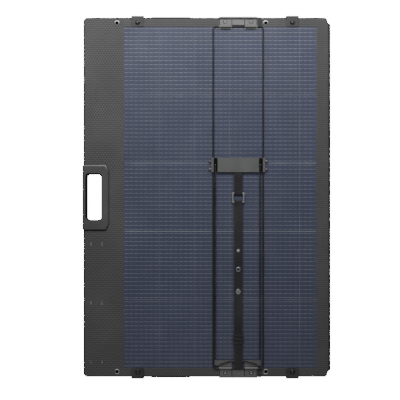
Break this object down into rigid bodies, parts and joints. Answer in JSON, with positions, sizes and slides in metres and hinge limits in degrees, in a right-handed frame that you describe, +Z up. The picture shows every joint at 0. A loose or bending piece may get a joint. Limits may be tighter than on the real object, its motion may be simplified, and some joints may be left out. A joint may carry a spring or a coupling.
{
  "type": "folding solar panel",
  "caption": "Folding two-section solar panel, closed book-like, with carry grip, corner eyelets, snap loops and a fold-out prop stand on each outer face.",
  "frame": {"origin": "centre of the bounding box in plan, on the surface that the closed panel lies on", "axes": "+X from the grip towards the fold, +Y along the fold, +Z up through the closed panel, out of the front section's outer face"},
  "size_m": [0.667, 0.9784, 0.0278],
  "materials": {
    "cover_fabric": "coated woven fabric, dark grey, fine twill relief",
    "clear_laminate": "clear cell laminate, slightly blue grey",
    "stiffener": "glass fibre board",
    "cells": "blue-black silicon with fine silver wires",
    "ribbon": "tinned ribbon",
    "clear_film": "clear polymer film",
    "eyelet_metal": "bright nickel",
    "grip_plastic": "fine moulded texture, dark grey",
    "screw_steel": "dark zinc",
    "stand_metal": "powder coat, mid grey",
    "rivet_metal": "painted rivet",
    "black_wire": "black coated wire",
    "foot_plate": "powder coat, dark grey",
    "webbing": "black ribbed webbing",
    "bright_metal": "satin nickel",
    "snap_metal": "satin nickel",
    "slider_plastic": "black acetal",
    "loop_rubber": "black moulded rubber",
    "spine_fabric": "black woven fabric",
    "copper": "insulated flat conductor",
    "box_plastic": "black moulded plastic"
  },
  "bodies": {
    "rear_section": {"rear_cover_outer": "cover_fabric", "rear_cover_inner": "cover_fabric", "rear_core_sheet": "clear_laminate", "rear_edge_board": "stiffener", "rear_cells": "cells", "rear_bus_ribbons": "ribbon", "rear_back_film": "clear_film", "rear_eyelets": "eyelet_metal", "rear_handle_outer": "grip_plastic", "rear_handle_inner": "grip_plastic", "rear_screws": "screw_steel", "rear_brackets": "stand_metal", "rear_rivets": "rivet_metal", "rear_wire_loop": "black_wire", "rear_crossbar": "stand_metal", "rear_wire_clamps": "stand_metal", "rear_pivot_rod": "screw_steel", "rear_loop_studs": "snap_metal", "junction_box": "box_plastic", "junction_lid": "box_plastic"},
    "rear_prop": {"rear_prop_bars": "black_wire", "rear_foot_bar": "foot_plate", "rear_straps": "webbing", "rear_strap_ring": "bright_metal", "rear_strap_snaps": "snap_metal"},
    "rear_slider": {"rear_strap_slider": "slider_plastic"},
    "rear_snap_loop_1": {"rear_loop_1": "loop_rubber"},
    "rear_snap_loop_2": {"rear_loop_2": "loop_rubber"},
    "rear_snap_loop_3": {"rear_loop_3": "loop_rubber"},
    "rear_snap_loop_4": {"rear_loop_4": "loop_rubber"},
    "front_section": {"front_cover_outer": "cover_fabric", "front_cover_inner": "cover_fabric", "front_core_sheet": "clear_laminate", "front_edge_board": "stiffener", "front_cells": "cells", "front_bus_ribbons": "ribbon", "front_back_film": "clear_film", "front_eyelets": "eyelet_metal", "front_handle_outer": "grip_plastic", "front_handle_inner": "grip_plastic", "front_screws": "screw_steel", "front_brackets": "stand_metal", "front_rivets": "rivet_metal", "front_wire_loop": "black_wire", "front_crossbar": "stand_metal", "front_wire_clamps": "stand_metal", "front_pivot_rod": "screw_steel", "front_loop_studs": "snap_metal"},
    "front_prop": {"front_prop_bars": "black_wire", "front_foot_bar": "foot_plate", "front_straps": "webbing", "front_strap_ring": "bright_metal", "front_strap_snaps": "snap_metal"},
    "front_slider": {"front_strap_slider": "slider_plastic"},
    "front_snap_loop_1": {"front_loop_1": "loop_rubber"},
    "front_snap_loop_2": {"front_loop_2": "loop_rubber"},
    "front_snap_loop_3": {"front_loop_3": "loop_rubber"},
    "front_snap_loop_4": {"front_loop_4": "loop_rubber"},
    "spine": {"spine_cover": "spine_fabric", "spine_conductors": "copper"}
  },
  "joints": [
    {"name": "rear_fold", "type": "hinge", "parent": "rear_section", "child": "spine", "pos_m": [0.3305, 0, 0.0074], "axis": [0, 1, 0], "range_deg": [0, 90]},
    {"name": "front_fold", "type": "hinge", "parent": "spine", "child": "front_section", "pos_m": [0.3305, 0, 0.0204], "axis": [0, 1, 0], "range_deg": [0, 90]},
    {"name": "front_prop_swing", "type": "hinge", "parent": "front_section", "child": "front_prop", "pos_m": [0.0855, 0.087, 0.0249], "axis": [-1, 0, 0], "range_deg": [0, 50]},
    {"name": "front_slider_slide", "type": "slide", "parent": "front_prop", "child": "front_slider", "axis": [0, 1, 0], "range_m": [-0.03, 0.09]},
    {"name": "front_snap_loop_1_flap", "type": "hinge", "parent": "front_section", "child": "front_snap_loop_1", "pos_m": [-0.1855, 0.4848, 0.0204], "axis": [-1, 0, 0], "range_deg": [0, 120]},
    {"name": "front_snap_loop_2_flap", "type": "hinge", "parent": "front_section", "child": "front_snap_loop_2", "pos_m": [0.2315, 0.4848, 0.0204], "axis": [-1, 0, 0], "range_deg": [0, 120]},
    {"name": "front_snap_loop_3_flap", "type": "hinge", "parent": "front_section", "child": "front_snap_loop_3", "pos_m": [-0.1855, -0.4848, 0.0204], "axis": [1, 0, 0], "range_deg": [0, 120]},
    {"name": "front_snap_loop_4_flap", "type": "hinge", "parent": "front_section", "child": "front_snap_loop_4", "pos_m": [0.2315, -0.4848, 0.0204], "axis": [1, 0, 0], "range_deg": [0, 120]},
    {"name": "rear_prop_swing", "type": "hinge", "parent": "rear_section", "child": "rear_prop", "pos_m": [-0.097, 0.087, 0.0029], "axis": [1, 0, 0], "range_deg": [0, 50]},
    {"name": "rear_slider_slide", "type": "slide", "parent": "rear_prop", "child": "rear_slider", "axis": [0, 1, 0], "range_m": [-0.03, 0.09]},
    {"name": "rear_snap_loop_1_flap", "type": "hinge", "parent": "rear_section", "child": "rear_snap_loop_1", "pos_m": [-0.1855, 0.4848, 0.0074], "axis": [1, 0, 0], "range_deg": [0, 120]},
    {"name": "rear_snap_loop_2_flap", "type": "hinge", "parent": "rear_section", "child": "rear_snap_loop_2", "pos_m": [0.2315, 0.4848, 0.0074], "axis": [1, 0, 0], "range_deg": [0, 120]},
    {"name": "rear_snap_loop_3_flap", "type": "hinge", "parent": "rear_section", "child": "rear_snap_loop_3", "pos_m": [-0.1855, -0.4848, 0.0074], "axis": [-1, 0, 0], "range_deg": [0, 120]},
    {"name": "rear_snap_loop_4_flap", "type": "hinge", "parent": "rear_section", "child": "rear_snap_loop_4", "pos_m": [0.2315, -0.4848, 0.0074], "axis": [-1, 0, 0], "range_deg": [0, 120]}
  ]
}
